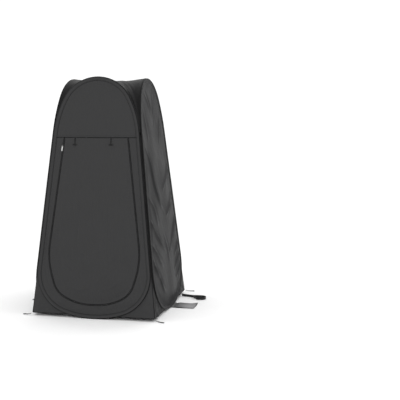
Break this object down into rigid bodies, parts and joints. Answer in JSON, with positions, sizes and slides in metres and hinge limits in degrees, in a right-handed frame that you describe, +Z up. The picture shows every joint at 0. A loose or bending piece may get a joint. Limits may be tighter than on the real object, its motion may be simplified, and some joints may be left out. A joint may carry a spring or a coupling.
{
  "type": "pop-up changing tent",
  "caption": "Tall pop-up changing tent: tapered fabric walls on sprung wire hoops, a zipped front door with toggles, ground flaps and peg loops.",
  "frame": {"origin": "on the floor, in the middle of the four walls", "axes": "+Z up; the front wall with the door faces -Y; +X is to the right when looking at the door"},
  "size_m": [1.4819, 1.1076, 1.9007],
  "materials": {
    "front_fabric": "plain-weave polyester, matt, dark charcoal",
    "wall_fabric": "plain-weave polyester with a soft sheen, dark charcoal",
    "roof_fabric": "stretched plain-weave polyester, dark charcoal",
    "sleeve_fabric": "folded binding fabric, black",
    "binding_tape": "woven tape, black",
    "spring_steel": "oil-blacked spring steel wire",
    "ferrule_steel": "bright crimped steel tube",
    "zip_tape": "woven zip tape, black",
    "zip_coil": "nylon coil, black",
    "slider_metal": "black lacquered die-cast slider",
    "pull_metal": "bright satin pull",
    "toggle_plastic": "moulded black plastic",
    "elastic_cord": "braided elastic, black",
    "coated_flap": "silver-grey coated side of the fabric",
    "webbing": "woven polypropylene webbing, black"
  },
  "bodies": {
    "front_wall": {"front_hoop_sleeve": "sleeve_fabric", "front_hoop_wire": "spring_steel", "front_hoop_ferrule": "ferrule_steel", "front_wall_gusset_left": "front_fabric", "front_wall_gusset_right": "front_fabric", "front_bindings": "binding_tape", "front_right_piping": "binding_tape", "front_left_piping": "binding_tape", "front_top_panel": "front_fabric", "front_door_surround": "front_fabric", "front_seam_band": "binding_tape", "surround_zip_tape": "zip_tape", "surround_zip_coil": "zip_coil", "zip_top_stop": "slider_metal", "zip_end_stop": "slider_metal", "tie_loop_left": "elastic_cord", "tie_loop_right": "elastic_cord", "roof_panel": "roof_fabric", "front_left_peg_loop": "elastic_cord", "front_right_peg_loop": "elastic_cord"},
    "right_wall": {"right_hoop_sleeve": "sleeve_fabric", "right_hoop_wire": "spring_steel", "right_hoop_ferrule": "ferrule_steel", "right_wall_gusset_front": "wall_fabric", "right_wall_gusset_back": "wall_fabric", "right_bindings": "binding_tape", "back_right_piping": "binding_tape", "right_panel": "wall_fabric", "back_right_peg_loop": "elastic_cord"},
    "left_wall": {"left_hoop_sleeve": "sleeve_fabric", "left_hoop_wire": "spring_steel", "left_hoop_ferrule": "ferrule_steel", "left_wall_gusset_front": "wall_fabric", "left_wall_gusset_back": "wall_fabric", "left_binding": "binding_tape", "left_panel": "wall_fabric", "back_left_peg_loop": "elastic_cord"},
    "back_wall": {"back_hoop_sleeve": "sleeve_fabric", "back_hoop_wire": "spring_steel", "back_hoop_ferrule": "ferrule_steel", "back_wall_gusset_right": "wall_fabric", "back_wall_gusset_left": "wall_fabric", "back_binding": "binding_tape", "back_panel": "wall_fabric"},
    "door": {"door_panel": "front_fabric", "door_zip_tape": "zip_tape", "door_zip_coil": "zip_coil", "toggle_anchor_left": "elastic_cord", "toggle_anchor_right": "elastic_cord"},
    "left_toggle": {"toggle_cord_left": "elastic_cord", "toggle_bar_left": "toggle_plastic"},
    "right_toggle": {"toggle_cord_right": "elastic_cord", "toggle_bar_right": "toggle_plastic"},
    "slider": {"zip_slider": "slider_metal"},
    "outside_pull": {"zip_pull_outside": "pull_metal"},
    "inside_pull": {"zip_pull_inside": "pull_metal"},
    "right_flap": {"right_ground_flap": "coated_flap"},
    "left_flap": {"left_ground_flap": "coated_flap"},
    "strap": {"folding_strap": "webbing"}
  },
  "joints": [
    {"name": "right_wall_fold", "type": "hinge", "parent": "front_wall", "child": "right_wall", "pos_m": [0.51, -0.51, 0], "axis": [-0.1039, 0.1039, 0.9892], "range_deg": [0, 84], "stiffness_Nm_per_rad": 6, "deforming": ["roof_panel"]},
    {"name": "left_wall_fold", "type": "hinge", "parent": "front_wall", "child": "left_wall", "pos_m": [-0.51, -0.51, 0], "axis": [0.1039, 0.1039, 0.9892], "range_deg": [0, 83]},
    {"name": "back_wall_fold", "type": "hinge", "parent": "right_wall", "child": "back_wall", "pos_m": [0.51, 0.51, 0], "axis": [-0.1039, -0.1039, 0.9892], "range_deg": [-83, 0]},
    {"name": "door_lift", "type": "hinge", "parent": "front_wall", "child": "door", "pos_m": [0, -0.36905, 1.41904], "axis": [-1, 0, 0], "range_deg": [0, 100]},
    {"name": "left_toggle_swing", "type": "hinge", "parent": "door", "child": "left_toggle", "pos_m": [-0.174, -0.37374, 1.41551], "axis": [-1, 0, 0], "range_deg": [0, 60]},
    {"name": "right_toggle_swing", "type": "hinge", "parent": "door", "child": "right_toggle", "pos_m": [0.124, -0.37374, 1.41551], "axis": [-1, 0, 0], "range_deg": [0, 60]},
    {"name": "zip_slide", "type": "slide", "parent": "front_wall", "child": "slider", "axis": [-0.1244, -0.1036, -0.9868], "range_m": [-0.035, 0.775]},
    {"name": "outside_pull_swing", "type": "hinge", "parent": "slider", "child": "outside_pull", "pos_m": [-0.27628, -0.38243, 1.35672], "axis": [-0.9922, 0.013, 0.1237], "range_deg": [0, 150]},
    {"name": "inside_pull_swing", "type": "hinge", "parent": "slider", "child": "inside_pull", "pos_m": [-0.27132, -0.37135, 1.35493], "axis": [0.9922, -0.013, -0.1237], "range_deg": [0, 150]},
    {"name": "right_flap_lift", "type": "hinge", "parent": "right_wall", "child": "right_flap", "pos_m": [0.526, 0.031, 0.0023], "axis": [0, -1, 0], "range_deg": [0, 80]},
    {"name": "left_flap_lift", "type": "hinge", "parent": "left_wall", "child": "left_flap", "pos_m": [-0.526, 0.031, 0.0023], "axis": [0, 1, 0], "range_deg": [0, 80]},
    {"name": "strap_lift", "type": "hinge", "parent": "right_wall", "child": "strap", "pos_m": [0.519, 0.365, 0.0223], "axis": [0, -1, 0], "range_deg": [0, 80]}
  ],
  "couplings": [
    {"joint": "left_wall_fold", "follows": "right_wall_fold", "ratio": 0.9868},
    {"joint": "back_wall_fold", "follows": "right_wall_fold", "ratio": -0.9868}
  ]
}
